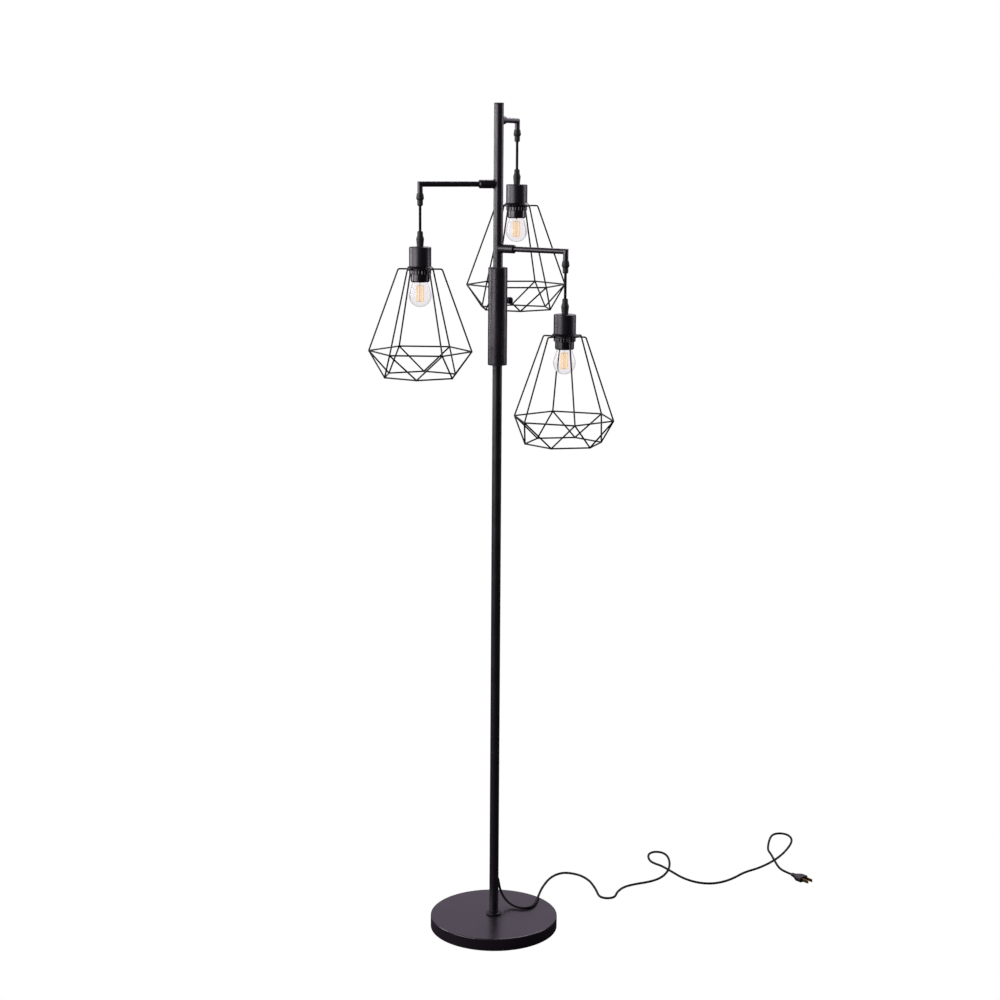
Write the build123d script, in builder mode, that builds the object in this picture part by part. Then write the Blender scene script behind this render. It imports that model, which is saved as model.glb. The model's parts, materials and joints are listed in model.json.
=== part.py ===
from build123d import *

import os
from math import atan, atan2, cos, degrees, pi, radians, sin, sqrt, tan

# A floor lamp: a round weighted foot, a slim pole with a switch housing part-way up, and three
# arms at different heights. A short flex hangs from each arm and carries a lampholder with a
# globe bulb inside a six-sided cage of welded wire.
# Millimetres. The pole's axis is +Z and the origin is the foot's underside, on that axis.
# A heading is an angle in degrees from +X towards +Y.

os.makedirs("parts", exist_ok=True)

# ---- Driving sizes ---------------------------------------------------------------------------
lamp_height = 1600.0
running_gap = 0.3  # between pieces that move against each other
slip_gap = 0.15  # between a tube and the hole it is pushed into
weld_gap = 0.01  # left between welded wires, so that each stays a body of its own

# foot
base_diameter = 250.0
base_height = 25.0
base_edge_radius = 2.5
cover_wall = 1.2
cover_lift = 1.0  # the cover's rim stays clear of the floor
pad_thickness = 2.0
pad_inset = 4.0  # from the foot's edge
weight_gap = 1.3  # between the weight and the cover's wall
weight_thickness = 12.0
weight_boss_diameter = 64.0
weight_recess_diameter = 34.0
weight_recess_depth = 11.0
weight_boss_slope = 6.0  # the boss is this much wider at its foot
weight_edge_radius = 1.0
stud_diameter = 10.0
stud_chamfer = 0.8
stud_past_nut = 0.4
washer_diameter = 30.0
washer_thickness = 2.0
nut_across_flats = 17.0
nut_height = 8.0
collar_diameter = 30.0
collar_height = 4.5
collar_top_radius = 2.0
collar_bottom_radius = 1.2

# pole
pole_diameter = 18.0
pole_wall = 1.2
lower_pole_sections = 3
section_plug_length = 18.0
coupler_bore_diameter = 6.4
pole_cap_height = 3.0
pole_cap_spigot = 10.0
pole_cap_radius = 1.0

# switch housing
housing_diameter = 36.0
housing_wall = 1.2
housing_drop = 482.0  # from the lamp's top to the housing's bottom
housing_length = 182.0
housing_cap_flange = 2.0
housing_cap_spigot = 14.0
pole_in_housing_cap = 12.0
housing_cap_edge_radius = 0.8
switch_rise = 120.0  # above the housing's bottom
switch_heading = 25.0
switch_body_diameter = 18.0
switch_body_length = 22.0
switch_bush_diameter = 10.0
switch_shaft_diameter = 6.0
switch_nut_across_flats = 11.0
switch_nut_thickness = 2.2
knob_diameter = 13.0
knob_length = 8.5
knob_disc = 2.8  # the plain front of the knob, in front of its flutes
knob_front_radius = 2.2
knob_flutes = 16
knob_flute_radius = 0.9
knob_shaft_gap = 0.05
knob_front_wall = 1.2
shaft_end_gap = 0.3  # between the shaft's end and the bottom of its bore, besides the knob's standoff
knob_standoff = 0.4
bush_past_nut = 0.3

# arms
arm_reach = 150.0
arm_diameter = 10.0
arm_wall = 1.0
arm_sleeve_wall = 3.0  # the sleeve's, outside the arm's own radius
arm_sleeve_reach = 38.0
arm_sleeve_chamfer = 2.0
arm_seat_reach = 14.0
wire_hole_diameter = 7.0

# pendants, from the arm's axis down
grip_drop = 16.5
upper_grip_length = 23.0
grip_wall = 2.3  # outside the arm's radius, at the grip's ridge
grip_neck_wall = 0.3
grip_mouth_bevel = 1.2  # how much narrower a grip is at its mouth
upper_ridge_drop = 9.0  # from the upper grip's top to its widest ridge
upper_step_drop = 12.0  # and to the step down to its neck
lower_neck_length = 7.5
arm_in_grip = 9.0
flex_diameter = 5.0
lower_grip_length = 28.5
grip_stub_length = 10.0
cup_height = 35.0
cup_wall = 1.2
cup_shoulder_radius = 2.0
cup_gap = 1.8  # between the cup and the holder in it
crown_flare = 4.5  # how far the crown's edge stands out past the cup
crown_thickness = 7.0
crown_wire_lift = 0.25  # the strut wires lie this much above the crown's underside
crown_wire_depth = 1.5  # and start this far inside its edge
holder_wall = 2.3  # at the holder's mouth
holder_below_crown = 22.0
holder_bore_depth = 31.0
holder_mouth_diameter = 30.4
holder_mouth_depth = 7.0
holder_top_diameter = 18.0
holder_dome_height = 9.0
holder_edge_bevel = 1.2
shade_ring_flute_radius = 1.6
shade_ring_wall = 2.65
shade_ring_height = 7.5
shade_ring_grips = 18

# bulbs
bulb_diameter = 41.5
bulb_below_holder = 46.0
bulb_cap_in_holder = 5.5  # the cap's rim is this far up inside the holder's mouth
bulb_neck_in_cap = 7.0
glass_wall = 0.8
bulb_cap_diameter = 26.8
bulb_cap_length = 23.0
bulb_cap_wall = 0.5
bulb_thread_depth = 0.5
bulb_threads = 4
bulb_thread_width = 1.8
bulb_cap_insulator = 3.0
bulb_contact_diameter = 9.0
bulb_contact_height = 1.5
filament_count = 4
filament_length = 30.0
filament_diameter = 1.8
filament_circle = 12.0
filament_rise = 19.0  # from the bulb's middle up to the filaments' tops
stem_diameter = 2.6
stem_foot_diameter = 6.4
stem_foot_length = 10.0
filament_lead = 0.6

# cages
cage_height = 204.0
cage_width = 194.5  # outside, across two opposite corners
cage_waist_drop = 156.5  # from the crown's top to the widest ring
cage_mouth_radius = 72.0
cage_shoulder_radius = 40.5
wire_diameter = 3.0
wire_bend_radius = 4.0
cage_sides = 6

# mains lead
cord_diameter = 4.8
cord_exit_height = 88.0
cord_exit_heading = 80.0
grommet_hole_diameter = 8.8
grommet_reach = 22.5
grommet_flange = 1.4
grommet_flange_lip = 1.2
grommet_wall = 1.6  # round the lead, at the strain relief's thick end
grommet_taper = 1.0  # how much thinner that wall is at its free end
plug_length = 34.0
plug_width = 25.0
plug_thickness = 13.0
plug_neck_length = 10.0
plug_shoulder_length = 20.0
plug_corner_radius = 4.0
blade_length = 17.5
blade_width = 6.4
blade_thickness = 1.5
blade_spacing = 12.7

# Each pendant: the arm's heading and its drop from the lamp's top, the flex and the cage's turn.
pendants = {
    "back": {"heading": 76.5, "drop": 31.0, "flex": 51.5, "turn": 6.5},
    "left": {"heading": 198.0, "drop": 147.0, "flex": 45.5, "turn": -3.0},
    "right": {"heading": -35.0, "drop": 265.0, "flex": 45.5, "turn": -19.5},
}

# ---- Sizes that follow -----------------------------------------------------------------------
pad_diameter = base_diameter - 2 * pad_inset
weight_diameter = base_diameter - 2 * (cover_wall + weight_gap)
pole_radius = pole_diameter / 2
pole_bore_radius = pole_radius - pole_wall
housing_bottom = lamp_height - housing_drop
switch_height = housing_bottom + switch_rise
housing_radius = housing_diameter / 2
housing_bore_radius = housing_radius - housing_wall
housing_top = housing_bottom + housing_length
lower_pole_top = housing_bottom + pole_in_housing_cap
upper_pole_bottom = housing_top - pole_in_housing_cap
section_length = (lower_pole_top - base_height) / lower_pole_sections
coupler_length = 2 * (section_plug_length - 1)
arm_radius = arm_diameter / 2
arm_sleeve_diameter = arm_diameter + 2 * arm_sleeve_wall
grip_radius = arm_radius + grip_wall
grip_neck_radius = arm_radius + grip_neck_wall
flex_radius = flex_diameter / 2
flex_bore_radius = flex_radius + running_gap
holder_diameter = holder_mouth_diameter + 2 * holder_wall
holder_bore_diameter = bulb_cap_diameter + 2 * running_gap
cup_diameter = holder_diameter + 2 * (cup_gap + cup_wall)
crown_diameter = cup_diameter + 2 * crown_flare
shade_ring_diameter = holder_diameter + 2 * (slip_gap + shade_ring_wall)
wire_radius = wire_diameter / 2
cord_radius = cord_diameter / 2
mouth_drop = grip_drop + upper_grip_length

# Levels of a pendant, measured down from the lower grip's mouth, where the flex enters it.
cup_top_level = -lower_grip_length
cup_rim_level = cup_top_level - cup_height
crown_bottom_level = cup_rim_level - crown_thickness
holder_bottom_level = crown_bottom_level - holder_below_crown
holder_top_level = cup_top_level - cup_wall
holder_bore_top = holder_bottom_level + holder_bore_depth
bulb_bottom_level = holder_bottom_level - bulb_below_holder
bulb_centre_level = bulb_bottom_level + bulb_diameter / 2
cap_rim_level = holder_bottom_level + bulb_cap_in_holder
cap_top_level = cap_rim_level + bulb_cap_length
cage_wire_level = crown_bottom_level + wire_radius + crown_wire_lift
cage_waist_level = cup_rim_level - cage_waist_drop
cage_mouth_level = cup_rim_level - cage_height + wire_radius
cage_waist_radius = cage_width / 2 - wire_radius


def save(piece, name):
    """Label a finished sub-part and write it to its own file."""
    piece.part.label = name
    export_step(piece.part, f"parts/{name}.step")


def along(heading, reach, height):
    """The point at a reach from the pole's axis, in a heading, at a height."""
    return Vector(reach * cos(radians(heading)), reach * sin(radians(heading)), height)


def radial_plane(heading, reach, height):
    """A plane that faces outwards from the pole, with its local Y pointing up."""
    return Plane(
        origin=along(heading, reach, height),
        x_dir=(-sin(radians(heading)), cos(radians(heading)), 0),
        z_dir=(cos(radians(heading)), sin(radians(heading)), 0),
    )


def upright(x, y, height, turn=0.0):
    """A level plane at a point, with its local X turned from +X."""
    return Plane(origin=(x, y, height), x_dir=(cos(radians(turn)), sin(radians(turn)), 0))


def copy_to(form, name, spot):
    """Write a copy of a form, made about the origin, at a spot."""
    with BuildPart(spot) as piece:
        add(form.part)
    save(piece, name)


# ---- Foot ------------------------------------------------------------------------------------
with BuildPart() as base_pad:
    Cylinder(pad_diameter / 2, pad_thickness, align=(Align.CENTER, Align.CENTER, Align.MIN))
save(base_pad, "base_pad")

weight_top = pad_thickness + weight_thickness
cover_top_inside = base_height - cover_wall
with BuildPart() as base_weight:
    with BuildSketch(Plane.XZ):
        with BuildLine():
            Polyline(
                (0, pad_thickness),
                (weight_diameter / 2, pad_thickness),
                (weight_diameter / 2, weight_top),
                (weight_boss_diameter / 2 + weight_boss_slope, weight_top),
                (weight_boss_diameter / 2, cover_top_inside),
                (0, cover_top_inside),
                close=True,
            )
        make_face()
    revolve(axis=Axis.Z)
    with BuildSketch(Plane.XY.offset(pad_thickness)):
        Circle(weight_recess_diameter / 2)
    extrude(amount=weight_recess_depth, mode=Mode.SUBTRACT)
    with BuildSketch(Plane.XY.offset(pad_thickness)):
        Circle(stud_diameter / 2 + slip_gap)
    extrude(amount=base_height, mode=Mode.SUBTRACT)
    fillet(base_weight.edges().group_by(Axis.Z)[0].sort_by(SortBy.LENGTH)[-1], radius=weight_edge_radius)
save(base_weight, "base_weight")

with BuildPart() as base_cover:
    Cylinder(
        base_diameter / 2,
        base_height - cover_lift,
        align=(Align.CENTER, Align.CENTER, Align.MIN),
    )
    fillet(base_cover.edges().sort_by(Axis.Z)[-1], radius=base_edge_radius)
    offset(amount=-cover_wall, openings=base_cover.faces().sort_by(Axis.Z)[0])
    Cylinder(stud_diameter / 2 + slip_gap, 4 * base_height, mode=Mode.SUBTRACT)
copy_to(base_cover, "base_cover", Plane.XY.offset(cover_lift))

recess_top = pad_thickness + weight_recess_depth
nut_top = recess_top - washer_thickness
stud_bottom = nut_top - nut_height - stud_past_nut
stud_top = base_height + section_plug_length - 1
with BuildPart() as base_washer:
    with BuildSketch(Plane.XY.offset(nut_top)):
        Circle(washer_diameter / 2)
        Circle(stud_diameter / 2 + slip_gap, mode=Mode.SUBTRACT)
    extrude(amount=washer_thickness)
save(base_washer, "base_washer")

with BuildPart() as base_nut:
    with BuildSketch(Plane.XY.offset(nut_top - nut_height)):
        RegularPolygon(nut_across_flats / 2, 6, major_radius=False)
        Circle(stud_diameter / 2 + slip_gap / 2, mode=Mode.SUBTRACT)
    extrude(amount=nut_height)
save(base_nut, "base_nut")

with BuildPart() as base_stud:
    with BuildSketch(Plane.XY.offset(stud_bottom)):
        Circle(stud_diameter / 2)
    extrude(amount=stud_top - stud_bottom)
    chamfer(base_stud.edges().filter_by(GeomType.CIRCLE), length=stud_chamfer)
save(base_stud, "base_stud")

with BuildPart() as foot_collar:
    with BuildSketch(Plane.XY.offset(base_height)):
        Circle(collar_diameter / 2)
        Circle(pole_radius + slip_gap, mode=Mode.SUBTRACT)
    extrude(amount=collar_height)
    fillet(foot_collar.edges().group_by(Axis.Z)[-1].sort_by(SortBy.LENGTH)[-1], radius=collar_top_radius)
    fillet(foot_collar.edges().group_by(Axis.Z)[0].sort_by(SortBy.LENGTH)[-1], radius=collar_bottom_radius)
save(foot_collar, "foot_collar")

# ---- Pole ------------------------------------------------------------------------------------
section_names = ["lower_pole_bottom", "lower_pole_middle", "lower_pole_top"]
grommet_hole_radius = grommet_hole_diameter / 2
for number in range(lower_pole_sections):
    section_bottom = base_height + number * section_length
    with BuildPart() as pole_section:
        with BuildSketch(Plane.XY.offset(section_bottom)):
            Circle(pole_radius)
            Circle(stud_diameter / 2 + slip_gap, mode=Mode.SUBTRACT)
        extrude(amount=section_length)
        with BuildSketch(Plane.XY.offset(section_bottom + section_plug_length)):
            Circle(pole_bore_radius)
        extrude(amount=section_length - 2 * section_plug_length, mode=Mode.SUBTRACT)
        if number == 0:
            with BuildSketch(radial_plane(cord_exit_heading, 0, cord_exit_height)):
                Circle(grommet_hole_radius)
            extrude(amount=2 * pole_radius, mode=Mode.SUBTRACT)
    save(pole_section, section_names[number])

with BuildPart() as pole_couplers:
    for number in range(1, lower_pole_sections):
        joint_height = base_height + number * section_length
        with BuildSketch(Plane.XY.offset(joint_height - coupler_length / 2)):
            Circle(stud_diameter / 2)
            Circle(coupler_bore_diameter / 2, mode=Mode.SUBTRACT)
        extrude(amount=coupler_length)
save(pole_couplers, "pole_couplers")

upper_pole_top = lamp_height - pole_cap_height
with BuildPart() as upper_pole:
    with BuildSketch(Plane.XY.offset(upper_pole_bottom)):
        Circle(pole_radius)
        Circle(pole_bore_radius, mode=Mode.SUBTRACT)
    extrude(amount=upper_pole_top - upper_pole_bottom)
    for pendant in pendants.values():
        with BuildSketch(radial_plane(pendant["heading"], 0, lamp_height - pendant["drop"])):
            Circle(wire_hole_diameter / 2)
        extrude(amount=2 * pole_radius, mode=Mode.SUBTRACT)
save(upper_pole, "upper_pole")

with BuildPart() as pole_cap:
    with BuildSketch(Plane.XY.offset(upper_pole_top)):
        Circle(pole_radius)
    extrude(amount=pole_cap_height)
    fillet(pole_cap.edges().group_by(Axis.Z)[-1], radius=pole_cap_radius)
    with BuildSketch(Plane.XY.offset(upper_pole_top - pole_cap_spigot)):
        Circle(pole_bore_radius - running_gap)
    extrude(amount=pole_cap_spigot)
save(pole_cap, "pole_cap")

# ---- Switch housing --------------------------------------------------------------------------
tube_bottom = housing_bottom + housing_cap_flange
tube_length = housing_length - 2 * housing_cap_flange
with BuildPart() as switch_housing:
    with BuildSketch(Plane.XY.offset(tube_bottom)):
        Circle(housing_radius)
        Circle(housing_bore_radius, mode=Mode.SUBTRACT)
    extrude(amount=tube_length)
    with BuildSketch(radial_plane(switch_heading, 0, switch_height)):
        Circle(switch_bush_diameter / 2 + slip_gap)
    extrude(amount=2 * housing_radius, mode=Mode.SUBTRACT)
save(switch_housing, "switch_housing")

with BuildPart() as housing_cap_form:
    with BuildSketch(Plane.XZ):
        with BuildLine():
            Polyline(
                (pole_radius + slip_gap, 0),
                (housing_radius, 0),
                (housing_radius, housing_cap_flange),
                (housing_bore_radius - slip_gap, housing_cap_flange),
                (housing_bore_radius - slip_gap, housing_cap_spigot),
                (coupler_bore_diameter / 2, housing_cap_spigot),
                (coupler_bore_diameter / 2, pole_in_housing_cap),
                (pole_radius + slip_gap, pole_in_housing_cap),
                close=True,
            )
        make_face()
    revolve(axis=Axis.Z)
    housing_cap_rim = housing_cap_form.edges().group_by(Axis.Z)[0].sort_by(SortBy.LENGTH)[-1]
    fillet(housing_cap_rim, radius=housing_cap_edge_radius)
copy_to(housing_cap_form, "housing_bottom_cap", Plane.XY.offset(housing_bottom))
with BuildPart() as housing_top_cap:
    add(mirror(housing_cap_form.part, about=Plane.XY, mode=Mode.PRIVATE))
copy_to(housing_top_cap, "housing_top_cap", Plane.XY.offset(housing_top))

body_front = sqrt(housing_bore_radius**2 - (switch_body_diameter / 2) ** 2) - 0.1
nut_face = housing_radius + 0.05
bush_front = nut_face + switch_nut_thickness + bush_past_nut
knob_back = bush_front + knob_standoff
knob_front = knob_back + knob_length
with BuildPart() as rotary_switch:
    with BuildSketch(radial_plane(switch_heading, body_front, switch_height)):
        Circle(switch_body_diameter / 2)
    extrude(amount=-switch_body_length)
    with BuildSketch(radial_plane(switch_heading, body_front, switch_height)):
        Circle(switch_bush_diameter / 2)
    extrude(amount=bush_front - body_front)
    with BuildSketch(radial_plane(switch_heading, bush_front, switch_height)):
        Circle(switch_shaft_diameter / 2)
    extrude(amount=knob_length - knob_front_wall - shaft_end_gap)
save(rotary_switch, "rotary_switch")

with BuildPart() as switch_nut:
    with BuildSketch(radial_plane(switch_heading, nut_face, switch_height)):
        RegularPolygon(switch_nut_across_flats / 2, 6, major_radius=False)
        Circle(switch_bush_diameter / 2 + slip_gap / 2, mode=Mode.SUBTRACT)
    extrude(amount=switch_nut_thickness)
save(switch_nut, "switch_nut")

with BuildPart() as switch_knob:
    with BuildSketch(radial_plane(switch_heading, knob_back, switch_height)):
        Circle(knob_diameter / 2)
        with PolarLocations(knob_diameter / 2 + 0.5, knob_flutes):
            Circle(knob_flute_radius, mode=Mode.SUBTRACT)
    extrude(amount=knob_length - knob_disc)
    with BuildSketch(radial_plane(switch_heading, knob_front - knob_disc, switch_height)):
        Circle(knob_diameter / 2)
    extrude(amount=knob_disc)
    knob_face = switch_knob.faces().sort_by(Axis((0, 0, 0), along(switch_heading, 1, 0)))[-1]
    fillet(knob_face.edges(), radius=knob_front_radius)
    with BuildSketch(radial_plane(switch_heading, knob_back, switch_height)):
        Circle(switch_shaft_diameter / 2 + knob_shaft_gap)
    extrude(amount=knob_length - knob_front_wall, mode=Mode.SUBTRACT)
save(switch_knob, "switch_knob")


# ---- Arms ------------------------------------------------------------------------------------
def make_arm(name, heading, height):
    """The welded sleeve and the arm's tube, which is mitred at its elbow."""
    with BuildPart() as arm_sleeve:
        with BuildSketch(radial_plane(heading, 0, height)):
            Circle(arm_sleeve_diameter / 2)
        extrude(amount=arm_sleeve_reach)
        sleeve_face = arm_sleeve.faces().sort_by(Axis((0, 0, 0), along(heading, 1, 0)))[-1]
        chamfer(sleeve_face.edges(), length=arm_sleeve_chamfer)
        with BuildSketch(radial_plane(heading, arm_seat_reach, height)):
            Circle(arm_radius + slip_gap)
        extrude(amount=arm_sleeve_reach, mode=Mode.SUBTRACT)
        with BuildSketch(radial_plane(heading, 0, height)):
            Circle(wire_hole_diameter / 2)
        extrude(amount=arm_sleeve_reach, mode=Mode.SUBTRACT)
        with BuildSketch(Plane.XY.offset(height - arm_sleeve_diameter)):
            Circle(pole_radius + 0.05)
        extrude(amount=2 * arm_sleeve_diameter, mode=Mode.SUBTRACT)
    save(arm_sleeve, f"{name}_arm_sleeve")

    with BuildPart() as arm_tube:
        with BuildLine():
            Polyline(
                along(heading, arm_seat_reach, height),
                along(heading, arm_reach, height),
                along(heading, arm_reach, height - grip_drop - arm_in_grip),
            )
        with BuildSketch(radial_plane(heading, arm_seat_reach, height)):
            Circle(arm_radius)
            Circle(arm_radius - arm_wall, mode=Mode.SUBTRACT)
        sweep(transition=Transition.RIGHT)
    save(arm_tube, f"{name}_arm_tube")


# The upper grip hangs from the arm: a gland body, its widest ridge and the nut below it.
with BuildPart() as upper_grip_form:
    with BuildSketch(Plane.XZ):
        with BuildLine():
            Polyline(
                (arm_radius + slip_gap, -grip_drop),
                (grip_neck_radius + 0.5, -grip_drop),
                (grip_radius, -grip_drop - upper_ridge_drop),
                (grip_neck_radius + 0.6, -grip_drop - upper_step_drop),
                (grip_neck_radius, -grip_drop - upper_step_drop - 0.5),
                (grip_neck_radius, -mouth_drop + 2),
                (grip_neck_radius - grip_mouth_bevel, -mouth_drop),
                (flex_bore_radius, -mouth_drop),
                (flex_bore_radius, -grip_drop - arm_in_grip),
                (arm_radius + slip_gap, -grip_drop - arm_in_grip),
                close=True,
            )
        make_face()
    revolve(axis=Axis.Z)

# The lower grip is the same gland the other way up, with a threaded stub through the cup's top.
with BuildPart() as lower_grip_form:
    with BuildSketch(Plane.XZ):
        with BuildLine():
            Polyline(
                (flex_bore_radius, 0),
                (grip_neck_radius - grip_mouth_bevel, 0),
                (grip_neck_radius, -2),
                (grip_neck_radius, -lower_neck_length),
                (grip_radius, cup_top_level / 2),
                (grip_neck_radius + 0.7, cup_top_level),
                (arm_radius, cup_top_level),
                (arm_radius, cup_top_level - grip_stub_length),
                (flex_bore_radius, cup_top_level - grip_stub_length),
                close=True,
            )
        make_face()
    revolve(axis=Axis.Z)

with BuildPart() as socket_cup_form:
    with BuildSketch(Plane.XY.offset(cup_rim_level)):
        Circle(cup_diameter / 2)
    extrude(amount=cup_height)
    fillet(socket_cup_form.edges().group_by(Axis.Z)[-1], radius=cup_shoulder_radius)
    offset(amount=-cup_wall, openings=socket_cup_form.faces().sort_by(Axis.Z)[0])
    with BuildSketch(Plane.XY.offset(cup_rim_level)):
        Circle(arm_radius + slip_gap)
    extrude(amount=cup_height, mode=Mode.SUBTRACT)

# The lampholder: a domed top that the grip's stub screws into, and a sleeve for the bulb's cap.
holder_shoulder_level = holder_top_level - holder_dome_height
with BuildPart() as lampholder_form:
    with BuildSketch(Plane.XZ):
        with BuildLine():
            Polyline(
                (arm_radius + slip_gap, holder_top_level),
                (holder_top_diameter / 2, holder_top_level),
                (holder_diameter / 2, holder_shoulder_level),
                (holder_diameter / 2, holder_bottom_level + 2),
                (holder_diameter / 2 - holder_edge_bevel, holder_bottom_level),
                (holder_mouth_diameter / 2, holder_bottom_level),
                (holder_mouth_diameter / 2, holder_bottom_level + holder_mouth_depth),
                (holder_bore_diameter / 2, holder_bottom_level + holder_mouth_depth + 1),
                (holder_bore_diameter / 2, holder_bore_top),
                (0, holder_bore_top),
                (0, cup_top_level - grip_stub_length - 0.5),
                (arm_radius + slip_gap, cup_top_level - grip_stub_length - 0.5),
                close=True,
            )
        make_face()
    revolve(axis=Axis.Z)

with BuildPart() as shade_ring_form:
    with BuildSketch(Plane.XY.offset(crown_bottom_level - shade_ring_height)):
        Circle(shade_ring_diameter / 2)
        Circle(holder_diameter / 2 + slip_gap, mode=Mode.SUBTRACT)
        with PolarLocations(shade_ring_diameter / 2 + 0.7, shade_ring_grips):
            Circle(shade_ring_flute_radius, mode=Mode.SUBTRACT)
    extrude(amount=shade_ring_height)

# ---- Bulb ------------------------------------------------------------------------------------
cap_radius = bulb_cap_diameter / 2
cap_valley_radius = cap_radius - bulb_thread_depth
neck_radius = cap_valley_radius - bulb_cap_wall - 0.1
bulb_radius = bulb_diameter / 2
shoulder_angle = 15.0
neck_top_level = cap_rim_level + bulb_neck_in_cap


def bulb_outline(inset):
    """Half of the glass's outline, moved inwards: a sphere, a waist and a straight neck."""
    radius = bulb_radius - inset
    with BuildLine() as outline:
        ball = CenterArc((0, bulb_centre_level), radius, -90, 90 + shoulder_angle)
        waist = TangentArc(ball @ 1, (neck_radius - inset, cap_rim_level), tangent=ball % 1)
        Polyline(
            waist @ 1,
            (neck_radius - inset, neck_top_level),
            (0, neck_top_level),
            (0, bulb_centre_level - radius),
        )
    return outline


with BuildPart() as bulb_glass_form:
    with BuildSketch(Plane.XZ):
        with BuildLine():
            add(bulb_outline(0).line)
        make_face()
    revolve(axis=Axis.Z)
    with BuildSketch(Plane.XZ):
        with BuildLine():
            add(bulb_outline(glass_wall).line)
        make_face()
    revolve(axis=Axis.Z, mode=Mode.SUBTRACT)

thread_length = (bulb_cap_length - 5) / (bulb_threads + 1)
with BuildPart() as bulb_cap_form:
    with BuildSketch(Plane.XY.offset(cap_rim_level)):
        Circle(cap_valley_radius)
    extrude(amount=bulb_cap_length - bulb_cap_insulator)
    for number in range(bulb_threads):
        rib_level = cap_rim_level + (number + 1) * thread_length
        with BuildSketch(Plane.XY.offset(rib_level - bulb_thread_width / 2)):
            Circle(cap_radius)
        extrude(amount=bulb_thread_width)
    with BuildSketch(Plane.XY.offset(cap_top_level - bulb_cap_insulator)):
        Circle(cap_valley_radius - 1.5)
    extrude(amount=2, taper=40)
    with BuildSketch(Plane.XY.offset(cap_top_level - bulb_contact_height)):
        Circle(bulb_contact_diameter / 2)
    extrude(amount=bulb_contact_height)
    with BuildSketch(Plane.XY.offset(cap_rim_level)):
        Circle(cap_valley_radius - bulb_cap_wall)
    extrude(amount=bulb_cap_length - bulb_cap_insulator - 2 * bulb_cap_wall, mode=Mode.SUBTRACT)

# A glass stem rises from the cap's cement and carries the filaments on short lead wires.
filament_top_level = bulb_centre_level + filament_rise
filament_bottom_level = filament_top_level - filament_length
with BuildPart() as bulb_filaments_form:
    with BuildSketch(Plane.XY.offset(neck_top_level)):
        Circle(neck_radius - 0.1)
    extrude(amount=2)
    with BuildSketch(Plane.XY.offset(filament_bottom_level - 1)):
        Circle(stem_diameter / 2)
    extrude(amount=neck_top_level - filament_bottom_level + 1)
    with BuildSketch(Plane.XY.offset(neck_top_level - stem_foot_length)):
        Circle(stem_foot_diameter / 2)
    extrude(amount=stem_foot_length)
    with PolarLocations(filament_circle / 2, filament_count, start_angle=45):
        with Locations((0, 0, filament_bottom_level)):
            Cylinder(
                filament_diameter / 2,
                filament_length,
                align=(Align.CENTER, Align.CENTER, Align.MIN),
            )
    for level in (filament_bottom_level + filament_lead, filament_top_level - filament_lead):
        with PolarLocations(0, filament_count, start_angle=45):
            with Locations((filament_circle / 4, 0, level)):
                Box(filament_circle / 2, filament_lead, filament_lead)

# ---- Cage ------------------------------------------------------------------------------------
half_side = 180.0 / cage_sides


def polar(radius, angle, level):
    """A corner of the cage, from its radius, its angle and its level."""
    return Vector(radius * cos(radians(angle)), radius * sin(radians(angle)), level)


def rod(start, end, radius, over=0.0):
    """A straight round wire between two points, made longer at both ends by over."""
    way = (end - start).normalized()
    with BuildPart() as wire:
        with BuildSketch(Plane(origin=start - way * over, z_dir=way)):
            Circle(radius)
        extrude(amount=(end - start).length + 2 * over)
    return wire.part


def corner_side(angle, gap, keep_high):
    """A half space on one side of the upright plane through the axis at an angle."""
    normal = Vector(-sin(radians(angle)), cos(radians(angle)), 0) * (1 if keep_high else -1)
    return Plane(origin=normal * gap, z_dir=normal)


def ring_bar(radius, first_angle, level):
    """One side of a ring of wire, mitred at both corners."""
    start = polar(radius, first_angle, level)
    end = polar(radius, first_angle + 2 * half_side, level)
    with BuildPart() as side:
        add(rod(start, end, wire_radius, over=2 * wire_radius))
        split(bisect_by=corner_side(first_angle, weld_gap, True), keep=Keep.TOP)
        split(bisect_by=corner_side(first_angle + 2 * half_side, weld_gap, False), keep=Keep.TOP)
    return side.part


# The strut leaves the crown level, bends down and ends against the waist ring's corner.
crown_edge = crown_diameter / 2
strut_bend = polar(cage_shoulder_radius, 0, cage_wire_level)
waist_corner = polar(cage_waist_radius, 0, cage_waist_level)
trim_radius = wire_radius + weld_gap
with BuildPart() as strut:
    with BuildLine():
        FilletPolyline(
            (crown_edge - crown_wire_depth, 0, cage_wire_level),
            strut_bend,
            waist_corner,
            radius=wire_bend_radius,
        )
    with BuildSketch(Plane(origin=(crown_edge - crown_wire_depth, 0, cage_wire_level), z_dir=(1, 0, 0))):
        Circle(wire_radius)
    sweep()
    for side in (-1, 1):
        neighbour = polar(cage_waist_radius, side * 2 * half_side, cage_waist_level)
        add(rod(waist_corner, neighbour, trim_radius, over=3), mode=Mode.SUBTRACT)

# A brace runs from a corner of the waist ring to the mouth ring's next corner, half a side on.
mouth_corner = polar(cage_mouth_radius, half_side, cage_mouth_level)
with BuildPart() as brace:
    add(rod(waist_corner, mouth_corner, wire_radius, over=1.5))
    split(bisect_by=corner_side(0, weld_gap, True), keep=Keep.TOP)
    split(bisect_by=corner_side(half_side, weld_gap, False), keep=Keep.TOP)
    for corner, radius, angle, level in (
        (waist_corner, cage_waist_radius, 0, cage_waist_level),
        (mouth_corner, cage_mouth_radius, half_side, cage_mouth_level),
    ):
        for side in (-1, 1):
            neighbour = polar(radius, angle + side * 2 * half_side, level)
            add(rod(corner, neighbour, trim_radius, over=3), mode=Mode.SUBTRACT)
    add(rod(waist_corner, strut_bend, trim_radius, over=3), mode=Mode.SUBTRACT)
brace_body = brace.part.solids().sort_by(SortBy.VOLUME)[-1]
strut_body = strut.part.solids().sort_by(SortBy.VOLUME)[-1]

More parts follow.
